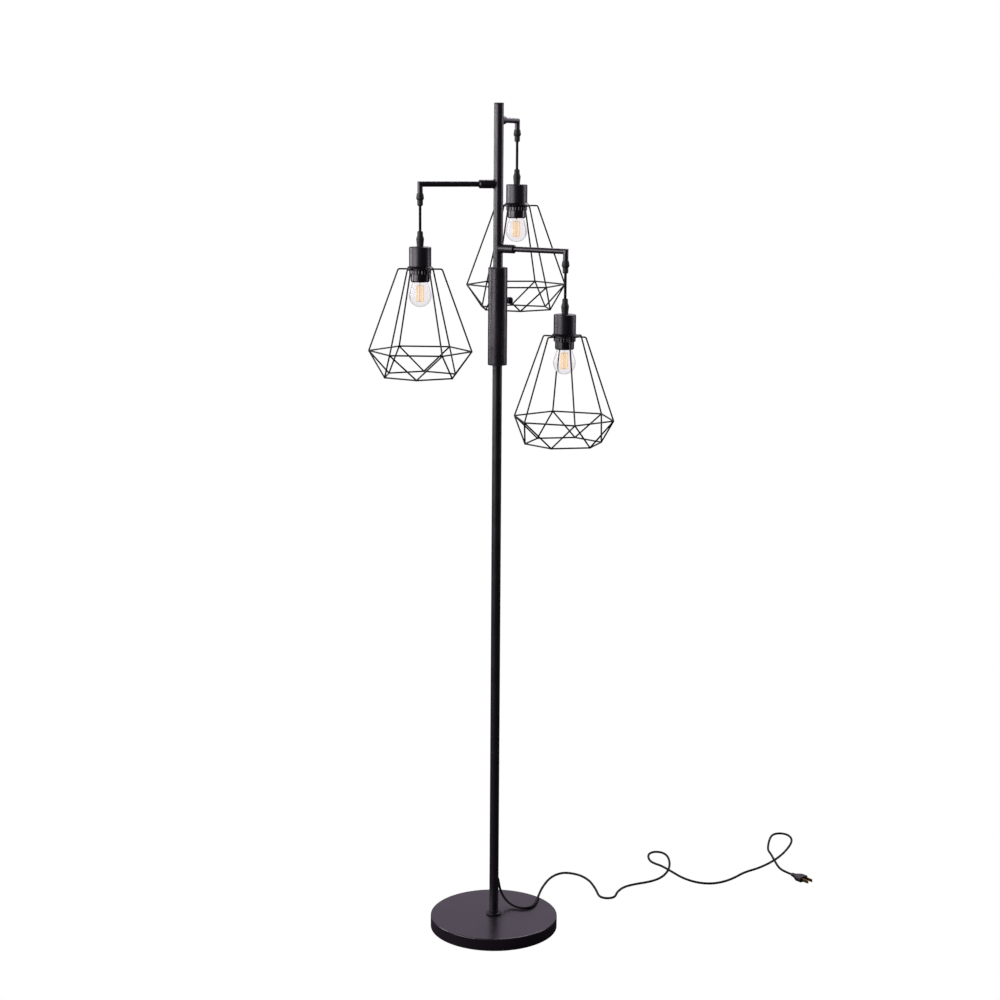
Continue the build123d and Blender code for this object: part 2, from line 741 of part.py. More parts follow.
# The crown: a flared ring that is clamped under the cup, with a notch for the end of each strut.
crown_bore_radius = holder_diameter / 2 + running_gap
with BuildPart() as crown:
    with BuildSketch(Plane.XZ):
        with BuildLine():
            Polyline(
                (crown_bore_radius, cup_rim_level),
                (cup_diameter / 2 + 0.3, cup_rim_level),
                (crown_edge, crown_bottom_level + 2 * wire_radius),
                (crown_edge, crown_bottom_level),
                (crown_bore_radius, crown_bottom_level),
                close=True,
            )
        make_face()
    revolve(axis=Axis.Z)
    for number in range(cage_sides):
        with BuildSketch(Plane(origin=(0, 0, cage_wire_level), z_dir=polar(1, number * 2 * half_side, 0))):
            Circle(trim_radius)
        extrude(amount=crown_diameter, mode=Mode.SUBTRACT)


def make_cage(name, spot):
    """Crown, struts, waist ring, braces and mouth ring, each wire a body of its own."""
    with BuildPart(spot) as cage:
        add(crown.part)
        with PolarLocations(0, cage_sides):
            add(strut_body)
            add(ring_bar(cage_waist_radius, 0, cage_waist_level))
            add(ring_bar(cage_mouth_radius, half_side, cage_mouth_level))
            add(brace_body)
            add(mirror(brace_body, about=Plane.XZ, mode=Mode.PRIVATE))
    save(cage, f"{name}_cage")


def make_pendant(name, heading, height, flex_length, turn):
    """Everything that hangs from one arm."""
    arm_end = along(heading, arm_reach, height)
    arm_spot = upright(arm_end.X, arm_end.Y, height)
    mouth_height = height - mouth_drop
    pendant_spot = upright(arm_end.X, arm_end.Y, mouth_height - flex_length)
    copy_to(upper_grip_form, f"{name}_upper_grip", arm_spot)

    with BuildPart() as hanging_flex:
        with BuildSketch(Plane.XY.offset(mouth_height - flex_length)):
            with Locations((arm_end.X, arm_end.Y)):
                Circle(flex_radius)
        extrude(amount=flex_length)
        for level in (mouth_height, mouth_height - flex_length):
            with Locations((arm_end.X, arm_end.Y, level)):
                Sphere(flex_radius)
    save(hanging_flex, f"{name}_hanging_flex")

    copy_to(lower_grip_form, f"{name}_lower_grip", pendant_spot)
    copy_to(socket_cup_form, f"{name}_socket_cup", pendant_spot)
    copy_to(lampholder_form, f"{name}_lampholder", pendant_spot)
    copy_to(shade_ring_form, f"{name}_shade_ring", pendant_spot)
    copy_to(bulb_glass_form, f"{name}_bulb_glass", pendant_spot)
    copy_to(bulb_cap_form, f"{name}_bulb_cap", pendant_spot)
    copy_to(bulb_filaments_form, f"{name}_bulb_filaments", pendant_spot)
    make_cage(name, upright(arm_end.X, arm_end.Y, mouth_height - flex_length, turn))


for name, pendant in pendants.items():
    arm_height = lamp_height - pendant["drop"]
    make_arm(name, pendant["heading"], arm_height)
    make_pendant(name, pendant["heading"], arm_height, pendant["flex"], pendant["turn"])

# ---- Inner lead ------------------------------------------------------------------------------
# One lead runs up the lower pole to the switch, and one from the switch past the three arms.
lead_radius = 2.0
top_arm_height = lamp_height - min(pendant["drop"] for pendant in pendants.values())
switch_body_radius = switch_body_diameter / 2
with BuildPart() as inner_wiring:
    with BuildSketch(Plane.XY.offset(cord_exit_height - lead_radius)):
        Circle(lead_radius)
    extrude(amount=switch_height - switch_body_radius - 0.3 - cord_exit_height + lead_radius)
    with BuildSketch(Plane.XY.offset(switch_height + switch_body_radius + 0.3)):
        Circle(lead_radius)
    extrude(amount=top_arm_height - switch_height - switch_body_radius)
save(inner_wiring, "inner_wiring")

# ---- Mains lead ------------------------------------------------------------------------------
flange_front = pole_radius + 0.1 + grommet_flange
with BuildPart() as cord_grommet:
    with BuildSketch(radial_plane(cord_exit_heading, lead_radius + 0.3, cord_exit_height)):
        Circle(grommet_hole_radius - slip_gap)
    extrude(amount=flange_front - lead_radius)
    with BuildSketch(radial_plane(cord_exit_heading, flange_front - grommet_flange, cord_exit_height)):
        Circle(grommet_hole_radius + grommet_flange_lip)
    extrude(amount=grommet_flange)
    with BuildSketch(radial_plane(cord_exit_heading, flange_front, cord_exit_height)):
        Circle(cord_radius + grommet_wall)
    nose_length = grommet_reach - flange_front
    extrude(amount=nose_length, taper=degrees(atan(grommet_taper / nose_length)))
save(cord_grommet, "cord_grommet")

# The lead leaves the grommet behind the pole, drops onto the foot, crosses its edge and lies on
# the floor, where it passes over itself twice. Each point is (x, y, height of its middle).
on_foot = base_height + cord_radius + 0.2
on_floor = cord_radius + 0.1
over_lead = on_floor + 2 * cord_diameter + 0.2
rising = 6.0
cord_points = [
    tuple(along(cord_exit_heading, grommet_reach, cord_exit_height)),
    tuple(along(cord_exit_heading, grommet_reach + 14, cord_exit_height)),
    (9.0, 47.5, 75.5),
    (12.0, 47.5, 56.0),
    (21.5, 41.5, 38.5),
    (37.0, 30.0, on_foot + 1.4),
    (57.0, 19.0, on_foot),
    (75.0, 26.0, on_foot),
    (84.0, 48.0, on_foot),
    (89.0, 77.0, on_foot + 0.6),
    (94.4, 112.0, 25.6),
    (99.4, 148.0, 19.6),
    (106.2, 187.0, 12.6),
    (115.1, 227.3, 6.3),
    (127.7, 257.0, on_floor + 0.4),
    (143.0, 271.0, on_floor),
    (158.0, 272.0, on_floor),
    (182.0, 260.0, on_floor),
    (200.0, 231.0, on_floor),
    (208.0, 200.0, on_floor),
    (213.0, 173.0, on_floor),
    (216.0, 147.0, on_floor),
    (225.0, 136.0, on_floor),
    (239.0, 135.0, on_floor),
    (250.0, 144.0, on_floor),
    (255.0, 169.0, on_floor),
    (271.0, 197.0, on_floor),
    (297.0, 213.0, on_floor),
    (327.0, 225.0, on_floor),
    (352.0, 246.0, on_floor),
    (369.0, 280.0, on_floor),
    (377.0, 315.0, on_floor),
    (379.0, 350.0, on_floor),
    (376.0, 378.0, on_floor),
    (366.0, 395.0, on_floor),
    (350.0, 398.0, on_floor),
    (338.0, 387.0, on_floor),
    (334.0, 366.0, on_floor),
    (337.0, 341.0, on_floor),
    (346.0, 318.0, rising),
    (356.0, 292.0, over_lead),
    (374.0, 262.0, over_lead),
    (396.0, 240.0, rising),
    (424.0, 223.0, on_floor),
    (454.0, 216.0, on_floor),
    (482.0, 227.0, on_floor),
    (508.0, 250.0, on_floor),
    (533.0, 282.0, on_floor),
    (567.0, 306.0, on_floor),
    (600.0, 342.0, on_floor),
    (629.0, 386.0, on_floor),
    (650.0, 431.0, on_floor),
    (661.0, 462.0, on_floor),
    (664.0, 485.0, on_floor),
    (660.0, 505.0, on_floor),
    (648.0, 516.0, on_floor),
    (632.0, 514.0, on_floor),
    (621.0, 500.0, on_floor),
    (613.0, 474.0, on_floor),
    (605.0, 438.0, on_floor),
    (600.0, 401.0, rising),
    (600.5, 366.0, over_lead),
    (603.0, 330.0, over_lead),
    (609.0, 298.0, rising),
    (620.0, 275.0, plug_thickness / 2),
    (631.0, 262.0, plug_thickness / 2),
]


def bend_radii(points):
    """The arc at each inner point: 0.45 of its shorter run over the tangent of half its turn."""
    radii = []
    for before, here, after in zip(points, points[1:], points[2:]):
        first = Vector(*here) - Vector(*before)
        second = Vector(*after) - Vector(*here)
        turn = first.get_angle(second)
        shorter = min(first.length, second.length)
        radii.append(0.45 * shorter / tan(radians(turn / 2)))
    return radii


cord_radii = bend_radii(cord_points)
cord_start = Vector(*cord_points[0])
cord_way = Vector(*cord_points[1]) - cord_start
with BuildPart() as power_cord:
    with BuildLine() as cord_path:
        FilletPolyline(*cord_points, radius=cord_radii)
    with BuildSketch(Plane(origin=cord_start, z_dir=cord_way)):
        Circle(cord_radius)
    sweep()
save(power_cord, "power_cord")

cord_length = cord_path.wires()[0].length
section_area = pi * cord_radius**2
print("cord length", round(cord_length, 1), "tightest radius", round(min(cord_radii), 1))
print("cord radii", [round(radius) for radius in cord_radii])
print("cord volume over section times length", power_cord.part.volume / (section_area * cord_length))

# The plug lies flat on the floor at the lead's end: a moulded body and two flat blades.
plug_start = Vector(*cord_points[-1])
plug_run = plug_start - Vector(*cord_points[-2])
plug_heading = degrees(atan2(plug_run.Y, plug_run.X))
plug_way = along(plug_heading, 1, 0)
plug_side = along(plug_heading + 90, 1, 0)


def plug_plane(distance):
    """A plane across the plug, at a distance from the lead's end, with local X across it."""
    return Plane(origin=plug_start + plug_way * distance, x_dir=plug_side, z_dir=plug_way)


with BuildPart() as plug_body:
    with BuildSketch(plug_plane(0)):
        Circle(cord_radius + 1.4)
    with BuildSketch(plug_plane(plug_neck_length)):
        RectangleRounded(plug_width * 0.5, plug_thickness * 0.72, plug_corner_radius - 0.5)
    with BuildSketch(plug_plane(plug_shoulder_length)):
        RectangleRounded(plug_width, plug_thickness - 0.2, plug_corner_radius)
    with BuildSketch(plug_plane(plug_length)):
        RectangleRounded(plug_width, plug_thickness - 0.2, plug_corner_radius)
    loft(ruled=True)
save(plug_body, "plug_body")

with BuildPart() as plug_blades:
    for side in (-1, 1):
        with BuildSketch(plug_plane(plug_length)):
            with Locations((side * blade_spacing / 2, 0)):
                Rectangle(blade_thickness, blade_width)
        extrude(amount=blade_length)
    chamfer(
        plug_blades.faces().filter_by(lambda face: face.normal_at().dot(plug_way) > 0.9).edges(),
        length=0.5,
    )
save(plug_blades, "plug_blades")
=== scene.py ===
import json
import math

import bpy
import numpy as np
from mathutils import Matrix

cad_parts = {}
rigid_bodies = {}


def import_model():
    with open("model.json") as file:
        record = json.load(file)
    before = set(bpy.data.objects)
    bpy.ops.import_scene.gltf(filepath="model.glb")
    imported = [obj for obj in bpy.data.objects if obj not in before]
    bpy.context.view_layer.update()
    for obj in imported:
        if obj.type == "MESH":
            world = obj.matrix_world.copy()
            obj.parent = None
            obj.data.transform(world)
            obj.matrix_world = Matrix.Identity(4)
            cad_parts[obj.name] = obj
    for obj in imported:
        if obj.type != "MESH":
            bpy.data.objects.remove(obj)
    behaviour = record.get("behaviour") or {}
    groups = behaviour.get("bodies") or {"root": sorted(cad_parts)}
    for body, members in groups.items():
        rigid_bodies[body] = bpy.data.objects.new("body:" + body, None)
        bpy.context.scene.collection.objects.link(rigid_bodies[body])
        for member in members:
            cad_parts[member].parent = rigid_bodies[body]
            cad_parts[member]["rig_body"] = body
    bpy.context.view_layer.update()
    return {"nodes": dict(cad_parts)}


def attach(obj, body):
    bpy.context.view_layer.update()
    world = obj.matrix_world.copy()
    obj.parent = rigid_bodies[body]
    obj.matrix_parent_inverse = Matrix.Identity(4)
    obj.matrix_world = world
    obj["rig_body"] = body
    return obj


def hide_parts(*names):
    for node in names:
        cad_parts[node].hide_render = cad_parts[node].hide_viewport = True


# Looks of a three-armed floor lamp with wire cages. Lengths are millimetres until a mesh is made.

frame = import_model()
MM = 0.001

# ---- Sizes shared by the pieces, all as in the frame ------------------------------------------
foot_radius, foot_top = 125.0, 25.0
pole_radius, pole_bore, tube_wall = 9.0, 9.15, 1.2
lower_pole_top, upper_pole_bottom = 1130.0, 1288.0
cap_level, lamp_top = 1597.0, 1600.0
housing_radius, housing_bottom, housing_top, rim_height = 18.0, 1118.0, 1300.0, 2.0
knob_level, knob_heading = 1238.0, 25.0
cord_exit_level, cord_exit_heading = 88.0, 80.0
arm_reach, arm_radius, sleeve_radius, cord_hole = 150.0, 5.0, 8.0, 5.1
# Headings are degrees round the pole from the right, and turns are the cages' own round their axes.
pendants = {
    "back": {"heading": 76.5, "arm_level": 1569.0, "flex": 51.5, "turn": 6.5},
    "left": {"heading": 198.0, "arm_level": 1453.0, "flex": 45.5, "turn": -3.0},
    "right": {"heading": -35.0, "arm_level": 1335.0, "flex": 45.5, "turn": -19.5},
}

# Levels below the lower grip's mouth, where the flex goes into the pendant.
mouth_drop = 39.5
cup_top = -28.5
cup_rim = -63.5
crown_bottom = -70.5
holder_bottom = -92.5
holder_bore_top = -61.5
bulb_centre = -117.75
cap_rim = -87.0
cap_top = -64.0
wire_radius = 1.5
wire_level = -68.75
waist_radius = 95.75
waist_level = -220.0
mouth_radius = 72.0
mouth_level = -266.0

# The power cord's route: (x, y, height of its middle), the same points as the frame's.
cord_route = [
    (3.9071, 22.1582, 88.0), (6.3382, 35.9455, 88.0), (9.0, 47.5, 75.5), (12.0, 47.5, 56.0),
    (21.5, 41.5, 38.5), (37.0, 30.0, 29.0), (57.0, 19.0, 27.6), (75.0, 26.0, 27.6),
    (84.0, 48.0, 27.6), (89.0, 77.0, 28.2), (94.4, 112.0, 25.6), (99.4, 148.0, 19.6),
    (106.2, 187.0, 12.6), (115.1, 227.3, 6.3), (127.7, 257.0, 2.9), (143.0, 271.0, 2.5),
    (158.0, 272.0, 2.5), (182.0, 260.0, 2.5), (200.0, 231.0, 2.5), (208.0, 200.0, 2.5),
    (213.0, 173.0, 2.5), (216.0, 147.0, 2.5), (225.0, 136.0, 2.5), (239.0, 135.0, 2.5),
    (250.0, 144.0, 2.5), (255.0, 169.0, 2.5), (271.0, 197.0, 2.5), (297.0, 213.0, 2.5),
    (327.0, 225.0, 2.5), (352.0, 246.0, 2.5), (369.0, 280.0, 2.5), (377.0, 315.0, 2.5),
    (379.0, 350.0, 2.5), (376.0, 378.0, 2.5), (366.0, 395.0, 2.5), (350.0, 398.0, 2.5),
    (338.0, 387.0, 2.5), (334.0, 366.0, 2.5), (337.0, 341.0, 2.5), (346.0, 318.0, 6.0),
    (356.0, 292.0, 12.3), (374.0, 262.0, 12.3), (396.0, 240.0, 6.0), (424.0, 223.0, 2.5),
    (454.0, 216.0, 2.5), (482.0, 227.0, 2.5), (508.0, 250.0, 2.5), (533.0, 282.0, 2.5),
    (567.0, 306.0, 2.5), (600.0, 342.0, 2.5), (629.0, 386.0, 2.5), (650.0, 431.0, 2.5),
    (661.0, 462.0, 2.5), (664.0, 485.0, 2.5), (660.0, 505.0, 2.5), (648.0, 516.0, 2.5),
    (632.0, 514.0, 2.5), (621.0, 500.0, 2.5), (613.0, 474.0, 2.5), (605.0, 438.0, 2.5),
    (600.0, 401.0, 6.0), (600.5, 366.0, 12.3), (603.0, 330.0, 12.3), (609.0, 298.0, 6.0),
    (620.0, 275.0, 6.5), (631.0, 262.0, 6.5),
]

# ---- Camera: fitted to points on the lamp, 3.55 m in front of it and tipped down 10.7 degrees ---
camera_data = bpy.data.cameras.new("photo_view")
camera_data.lens = 68.4
camera_data.sensor_width = 36.0
camera = bpy.data.objects.new("photo_view", camera_data)
bpy.context.scene.collection.objects.link(camera)
camera.matrix_world = (
    Matrix.Translation((0.0068, -3.552, 1.531))
    @ Matrix.Rotation(math.radians(90.0 - 10.70), 4, "X")
    @ Matrix.Rotation(math.radians(0.39), 4, "Z")
)
bpy.context.scene.camera = camera


# ---- Surfaces as arrays ----------------------------------------------------------------------
def unit(vectors):
    """Vectors along the last axis, each divided by its own length."""
    return vectors / np.linalg.norm(vectors, axis=-1, keepdims=True)


def round_corners(corners, radii, closed, steps=5, hold=0.5):
    """A line or outline with its corners rounded, in the plane or in space.

    At a corner that turns by t, the arc of radius r touches the runs r tan(t/2) away, and its
    points are the centre plus r times the blend of its two end directions by sines. Two more
    points hold each run straight, a little way in from its ends. An open line keeps its ends.
    """
    corners = np.asarray(corners, float)
    middle = corners if closed else corners[1:-1]
    before = np.roll(corners, 1, 0) if closed else corners[:-2]
    after = np.roll(corners, -1, 0) if closed else corners[2:]
    radii = np.broadcast_to(np.asarray(radii, float), len(middle))[:, None]
    way_in, way_out = unit(middle - before), unit(after - middle)
    turn = np.arccos(np.clip((way_in * way_out).sum(-1, keepdims=True), -1, 1))
    reach = radii * np.tan(turn / 2)
    start, end = middle - way_in * reach, middle + way_out * reach
    centre = middle + unit(way_out - way_in) * radii / np.cos(turn / 2)
    share = np.linspace(0, 1, steps + 1)[None, :, None]
    angle = turn[:, None, :]
    arc = (
        np.sin((1 - share) * angle) * (start - centre)[:, None, :]
        + np.sin(share * angle) * (end - centre)[:, None, :]
    ) / np.sin(angle) + centre[:, None, :]
    if closed:
        run_start, run_end = end, np.roll(start, -1, 0)
    else:
        run_start = np.vstack([corners[:1], end])
        run_end = np.vstack([start, corners[-1:]])
    run = run_end - run_start
    inset = np.minimum(hold / np.maximum(np.linalg.norm(run, axis=-1, keepdims=True), 1e-9), 0.3)
    held = np.stack([run_start + run * inset, run_end - run * inset], axis=1)
    if closed:
        return np.concatenate([arc, held], axis=1).reshape(-1, corners.shape[1])
    body = np.concatenate([arc, held[1:]], axis=1).reshape(-1, corners.shape[1])
    return np.vstack([corners[:1], held[0], body, corners[-1:]])


def ring_shell(rings, loop=False):
    """Points, quads and triangles of a stack of closed rings, an array (ring, place, xyz).

    Each ring is joined to the next by quads and its last place to its first. A loop joins the
    last ring to the first; otherwise a fan to the ring's middle closes each end.
    """
    count, around = rings.shape[:2]
    points = rings.reshape(-1, 3)
    row = np.arange(count if loop else count - 1)[:, None]
    place = np.arange(around)[None, :]
    next_row, next_place = (row + 1) % count * around, (place + 1) % around
    here = row * around
    quads = np.stack(
        [here + place, here + next_place, next_row + next_place, next_row + place], axis=-1
    ).reshape(-1, 4)
    if loop:
        return points, quads, np.zeros((0, 3), int)
    ids = np.arange(around)
    first = np.stack([np.roll(ids, -1), ids, np.full(around, len(points))], axis=-1)
    last = (count - 1) * around + ids
    end = np.stack([last, np.roll(last, -1), np.full(around, len(points) + 1)], axis=-1)
    points = np.vstack([points, rings[0].mean(0), rings[-1].mean(0)])
    return points, quads, np.vstack([first, end])


def turned_rings(outline, around=48, flutes=None):
    """An outline of (radius, level) carried round the upright axis.

    The ring at each outline point is (r cos a, r sin a, level), and flutes(outline, a) adds to r.
    """
    angle = np.arange(around) * 2 * math.pi / around
    radius = outline[:, :1] + (0 if flutes is None else flutes(outline, angle[None, :]))
    level = np.broadcast_to(outline[:, 1:], radius.shape if flutes else (len(outline), around))
    return np.stack([radius * np.cos(angle), radius * np.sin(angle), level], axis=-1)


def turned(corners, radii, around=48, closed=True, flutes=None, steps=5):
    """A turned shell: the corners' rounded outline carried round the upright axis."""
    rings = turned_rings(round_corners(corners, radii, closed, steps), around, flutes)
    return ring_shell(rings, loop=closed)


def wire_shell(path, side, radius, around=12, loop=False):
    """A round wire along a flat path, mitred where the path has a corner.

    The ring at a point is its centre + r (cos a across + sin a side), where across is side x
    tangent over the cosine of half the path's turn there, so that a corner's ring is its mitre.
    """
    ahead = unit(np.diff(path, axis=0, append=path[:1]))
    if not loop:
        ahead[-1] = ahead[-2]
    behind = np.roll(ahead, 1, 0)
    if not loop:
        behind[0] = ahead[0]
    tangent = unit(ahead + behind)
    side = np.asarray(side, float)
    across = np.cross(side, tangent) / (tangent * ahead).sum(-1, keepdims=True)
    angle = (np.arange(around) * 2 * math.pi / around)[None, :, None]
    rings = path[:, None, :] + radius * (
        np.cos(angle) * across[:, None, :] + np.sin(angle) * side[None, None, :]
    )
    return ring_shell(rings, loop)


def bead_shell(centre, radius, around=10, rows=6):
    """A small ball: rings of r cos b at the level r sin b, for b from -70 to 70 degrees, capped."""
    tilt = np.radians(np.linspace(-70, 70, rows))
    outline = np.stack([radius * np.cos(tilt), radius * np.sin(tilt)], axis=-1)
    points, quads, tris = ring_shell(turned_rings(outline, around))
    points[-2:, 2] = (-radius, radius)
    return points + np.asarray(centre, float), quads, tris


def moved(shell, columns=np.eye(3), origin=(0, 0, 0)):
    """A shell in another place: its x, y and z run along the columns, from the origin."""
    points, quads, tris = shell
    return points @ np.asarray(columns, float).T + np.asarray(origin, float), quads, tris


def spun(angle):
    """The columns of a turn about the upright axis, in degrees."""
    c, s = math.cos(math.radians(angle)), math.sin(math.radians(angle))
    return np.array([[c, -s, 0], [s, c, 0], [0, 0, 1]])


def radial(angle):
    """The columns that lay a turned shell along a heading: x across it, y up, z outwards."""
    c, s = math.cos(math.radians(angle)), math.sin(math.radians(angle))
    return np.array([[-s, 0, c], [c, 0, s], [0, 1, 0]])


def piece(name, shells, finish, stands_for, sharp=32.0):
    """One mesh object from shells: joined, turned to metres, smooth but for edges over the angle.

    It rides on the body of the first frame node that it stands for, and takes the finish's
    material.
    """
    offsets = np.cumsum([0] + [len(points) for points, _, _ in shells])
    points = np.vstack([points for points, _, _ in shells]) * MM
    quads = np.vstack([quads + offset for (_, quads, _), offset in zip(shells, offsets)])
    tris = np.vstack([tris + offset for (_, _, tris), offset in zip(shells, offsets)])
    mesh = bpy.data.meshes.new(name)
    mesh.from_pydata(points.tolist(), [], quads.tolist() + tris.tolist())
    mesh.shade_smooth()
    mesh.set_sharp_from_angle(angle=math.radians(sharp))
    made = bpy.data.objects.new(name, mesh)
    bpy.context.scene.collection.objects.link(made)
    made.data.materials.append(finish[0])
    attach(made, frame["nodes"][stands_for[0]]["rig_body"])
    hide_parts(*stands_for)
    return made


# ---- Finishes --------------------------------------------------------------------------------
def linear(code):
    """An sRGB hex value as linear colour: c/12.92 up to 0.04045, then ((c + 0.055)/1.055)^2.4."""
    parts = np.array([int(code[i : i + 2], 16) for i in (1, 3, 5)]) / 255
    low = parts <= 0.04045
    return (*np.where(low, parts / 12.92, ((parts + 0.055) / 1.055) ** 2.4).tolist(), 1.0)


def add_node(tree, kind, values=None, links=None, **fields):
    """A node with its own fields set, values on its sockets and links from other nodes' outputs."""
    made = tree.nodes.new(kind)
    for field, value in fields.items():
        setattr(made, field, value)
    for socket, value in (values or {}).items():
        made.inputs[socket].default_value = value
    for socket, source in (links or {}).items():
        tree.links.new(source, made.inputs[socket])
    return made


# The colour mix node's sockets, by their place: its share, its two colours and its result.
MIX_SHARE, MIX_FIRST, MIX_SECOND, MIX_RESULT = 0, 6, 7, 2


def new_finish(name):
    """An empty node material with its output and object coordinates."""
    material = bpy.data.materials.new(name)
    material.use_nodes = True
    tree = material.node_tree
    tree.nodes.clear()
    output = add_node(tree, "ShaderNodeOutputMaterial")
    place = add_node(tree, "ShaderNodeTexCoord").outputs["Object"]
    return material, tree, output, place


def coated(name, dark, light, gloss, peel_mm, peel_depth_mm, cloud_mm, **shader):
    """A coat or moulded skin: two close colours in soft clouds, and gloss that drifts with them.

    Clouds are noise of cloud_mm across, and the skin over them is noise of peel_mm across and
    peel_depth_mm deep. The gloss is the roughness at the two ends of the clouds' range.
    """
    material, tree, output, place = new_finish(name)
    clouds = add_node(
        tree, "ShaderNodeTexNoise", {"Scale": 1000 / cloud_mm, "Detail": 3.0}, {"Vector": place}
    )
    skin = add_node(
        tree,
        "ShaderNodeTexNoise",
        {"Scale": 1000 / peel_mm, "Detail": 2.0, "Roughness": 0.6},
        {"Vector": place},
    )
    shade = add_node(
        tree,
        "ShaderNodeMix",
        {MIX_FIRST: linear(dark), MIX_SECOND: linear(light)},
        {MIX_SHARE: clouds.outputs[0]},
        data_type="RGBA",
    )
    rough = add_node(
        tree,
        "ShaderNodeMapRange",
        {"From Min": 0.3, "From Max": 0.7, "To Min": gloss[0], "To Max": gloss[1]},
        {"Value": clouds.outputs[0]},
    )
    bump = add_node(
        tree,
        "ShaderNodeBump",
        {"Strength": 1.0, "Distance": peel_depth_mm * MM},
        {"Height": skin.outputs[0]},
    )
    surface = add_node(
        tree,
        "ShaderNodeBsdfPrincipled",
        shader,
        {
            "Base Color": shade.outputs[MIX_RESULT],
            "Roughness": rough.outputs[0],
            "Normal": bump.outputs[0],
        },
    )
    tree.links.new(surface.outputs[0], output.inputs[0])
    return material


# Epoxy powder coat, sprayed and baked on steel tube and sheet: a satin near-black with a slight
# purple cast. Its orange peel is about 1.5 mm across, and is drawn at 4 mm so that it shows.
powder_coat = coated("powder_coated_steel", "#141115", "#1a171c", (0.32, 0.40), 4.0, 0.02, 30.0)
# The same coat on the foot's wide flat sheet, where it levels out: glossier, with wide soft clouds
# and orange peel drawn at 5 mm. Its two colours are lighter than the pole's coat: painted sheen,
# standing in for the light that the foot's top mirrors.
foot_coat_with_painted_sheen = coated("powder_coated_foot_sheet_painted_sheen", "#1b151c", "#211a22", (0.22, 0.28), 5.0, 0.02, 60.0)
# Powder coat over welded round wire: thin and deep black, it mirrors little, and its gloss drifts
# over 12 mm where it ran along the wire. The peel is drawn at 5 mm, coarser than real. The small
# turned ring at the pole's foot has the same deep coat.
wire_coat = coated(
    "powder_coated_wire", "#070608", "#0b090c", (0.34, 0.42), 5.0, 0.02, 12.0,
    **{"Specular IOR Level": 0.3},
)
# Glass-filled nylon, moulded with a spark-eroded grain of 0.5 mm, so that it looks matt and dry.
grip_nylon = coated("grained_nylon", "#121113", "#191719", (0.55, 0.68), 0.5, 0.03, 8.0)
# Phenolic, pressed in a polished mould: deep black and glossy with faint flow clouds.
phenolic = coated("pressed_phenolic", "#0e0d0f", "#151316", (0.20, 0.28), 6.0, 0.02, 14.0)
# ABS, moulded with a fine satin skin.
knob_abs = coated("moulded_abs", "#121113", "#1a181a", (0.34, 0.44), 0.6, 0.01, 5.0)
# Plasticised PVC, extruded as cable sheath: deep black with a soft broken sheen. The die's ripple
# is drawn at 4 mm, coarser than real.
sheath_pvc = coated(
    "extruded_pvc_sheath", "#050406", "#09080a", (0.50, 0.60), 4.0, 0.02, 9.0,
    **{"Specular IOR Level": 0.15},
)
# The same PVC moulded over the plug.
plug_pvc = coated("moulded_pvc_plug", "#111012", "#181618", (0.42, 0.54), 0.8, 0.02, 8.0)
# Cast iron, shot-blasted: dark, rough and grainy.
cast_iron = coated("cast_iron", "#3a3836", "#4a4744", (0.6, 0.8), 2.0, 0.25, 15.0, Metallic=0.6)
# Closed-cell EVA foam: matt charcoal with 1 mm cells.
pad_foam = coated("eva_foam", "#262527", "#302e31", (0.85, 0.95), 1.0, 0.15, 10.0)
# Zinc-plated steel, passivated: pale and slightly blotched.
zinc_steel = coated(
    "zinc_plated_steel", "#9fa3a6", "#b4b7b8", (0.30, 0.42), 3.0, 0.02, 6.0, Metallic=1.0
)
# Stamped brass of the plug's blades: warm and bright, with drawing marks worn soft.
stamped_brass = coated(
    "stamped_brass", "#b99b5a", "#cdb06f", (0.22, 0.34), 1.5, 0.01, 4.0, Metallic=1.0
)
# Nickel-plated brass of a screw cap: cooler and duller, with handling smudges.
cap_nickel = coated(
    "nickel_plated_cap", "#a7a49b", "#bdbab2", (0.24, 0.38), 2.0, 0.01, 7.0, Metallic=1.0
)
# Silicone with phosphor over the unlit filament sticks: pale amber, waxy, with a fine grain. Its
# faint emission is a painted glow, standing in for the light that comes through the sticks from
# behind.
filament_coat_painted_glow = coated(
    "phosphor_silicone_painted_glow", "#e8b466", "#f4cb88", (0.45, 0.6), 0.6, 0.01, 2.5,
    **{"Emission Color": linear("#fad296"), "Emission Strength": 0.5},
)


def blown_glass(name, tint, ripple_mm, ripple_depth_mm):
    """Clear soda-lime glass: full transmission, IOR 1.5, and a slow ripple of the blown wall.

    Its mirror image is tinted down to a sixth, as the thin wall's faint gloss looks in a studio.
    """
    material, tree, output, place = new_finish(name)
    ripple = add_node(
        tree, "ShaderNodeTexNoise", {"Scale": 1000 / ripple_mm, "Detail": 1.0}, {"Vector": place}
    )
    bump = add_node(
        tree,
        "ShaderNodeBump",
        {"Strength": 1.0, "Distance": ripple_depth_mm * MM},
        {"Height": ripple.outputs[0]},
    )
    surface = add_node(
        tree,
        "ShaderNodeBsdfPrincipled",
        {
            "Base Color": linear(tint),
            "Roughness": 0.0,
            "IOR": 1.5,
            "Transmission Weight": 1.0,
            "Specular Tint": (0.15, 0.145, 0.16, 1.0),
        },
        {"Normal": bump.outputs[0]},
    )
    tree.links.new(surface.outputs[0], output.inputs[0])
    return material


# Blown lamp glass, clear with the faintest warm tint and a ripple 40 mm long, so that what shows
# through it bends a little, and the pressed stem inside it, warmer and drawn with a 10 mm ripple.
bulb_glass = blown_glass("blown_lamp_glass", "#fefdfb", 40.0, 0.002)
stem_glass = blown_glass("pressed_stem_glass", "#f4efe6", 10.0, 0.002)
